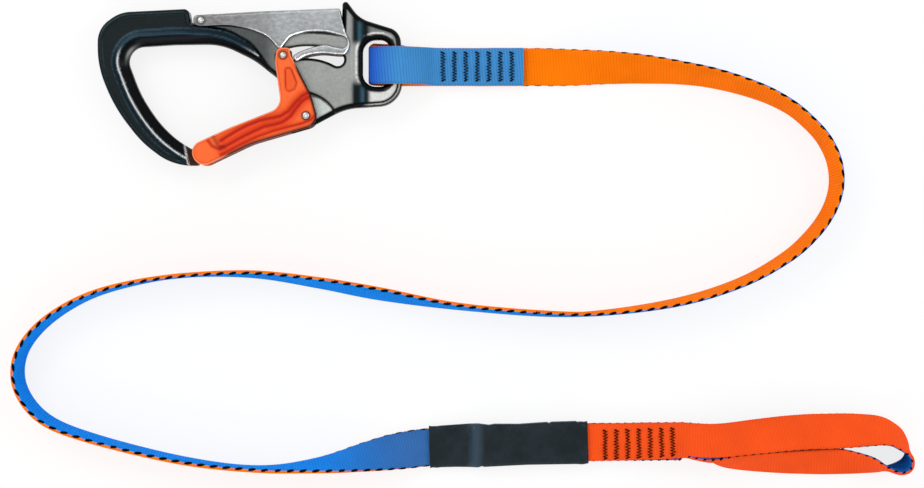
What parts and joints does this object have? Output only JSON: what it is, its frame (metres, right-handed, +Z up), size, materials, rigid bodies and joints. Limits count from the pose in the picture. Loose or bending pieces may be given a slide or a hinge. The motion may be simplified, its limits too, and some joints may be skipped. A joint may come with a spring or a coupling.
{
  "type": "safety tether",
  "caption": "Safety tether: a double-action hook with a palm lever and a hinged gate on one end of a two-colour webbing strap, and a stitched hand loop with a shrink sleeve on the other.",
  "frame": {"origin": "on the surface that the tether lies on, under the middle of the hook's box", "axes": "+X from the hook's bow towards its eye, +Y from the gate's side towards the palm lever, +Z up"},
  "size_m": [0.4204, 0.2205, 0.0179],
  "materials": {
    "black_anodised_alloy": "black anodised forging, satin",
    "satin_steel": "satin sheet, brushed along its length",
    "orange_anodised_sheet": "orange anodised pressed sheet, satin",
    "rivet_steel": "turned and closed rivets, bright",
    "spring_steel": "drawn spring wire",
    "bush_bronze": "plain sintered bearing bronze",
    "orange_webbing": "woven strap, orange one side and blue the other",
    "dark_thread": "bonded thread in dense bar tacks",
    "black_shrink_sleeve": "shrunk polymer sleeve, satin black"
  },
  "bodies": {
    "tether": {"strap_hook_eye": "orange_webbing", "strap_run": "orange_webbing", "strap_end_loop": "orange_webbing", "shrink_sleeve": "black_shrink_sleeve", "eye_tack_1": "dark_thread", "eye_tack_2": "dark_thread", "eye_tack_3": "dark_thread", "eye_tack_4": "dark_thread", "eye_tack_5": "dark_thread", "eye_tack_6": "dark_thread", "eye_tack_7": "dark_thread", "loop_tack_1": "dark_thread", "loop_tack_2": "dark_thread", "loop_tack_3": "dark_thread", "loop_tack_4": "dark_thread", "loop_tack_5": "dark_thread", "loop_tack_6": "dark_thread", "loop_tack_7": "dark_thread"},
    "hook": {"hook_body": "black_anodised_alloy", "lever_pivot_rivet": "rivet_steel", "gate_pivot_rivet": "rivet_steel", "gate_bush": "bush_bronze", "gate_spacer": "satin_steel", "gate_spring": "spring_steel", "lever_spring": "spring_steel"},
    "gate": {"gate": "orange_anodised_sheet", "follower_pin": "rivet_steel", "follower_roller": "bush_bronze"},
    "lever": {"palm_lever": "satin_steel"}
  },
  "joints": [
    {"name": "hook_swing", "type": "hinge", "parent": "tether", "child": "hook", "pos_m": [0.0677, 0.0084, 0.0086], "axis": [0, 1, 0], "range_deg": [0, 110]},
    {"name": "gate_swing", "type": "hinge", "parent": "hook", "child": "gate", "pos_m": [0.0263, -0.0151, 0.0086], "axis": [0, 0, -1], "range_deg": [0, 48], "stiffness_Nm_per_rad": 0.15, "springref_deg": -28.65},
    {"name": "lever_press", "type": "hinge", "parent": "hook", "child": "lever", "pos_m": [-0.0224, 0.0291, 0.0086], "axis": [0, 0, -1], "range_deg": [0, 8], "stiffness_Nm_per_rad": 0.3, "springref_deg": -5.73}
  ],
  "couplings": [
    {"joint": "lever_press", "follows": "gate_swing", "ratio": 0.16666}
  ]
}
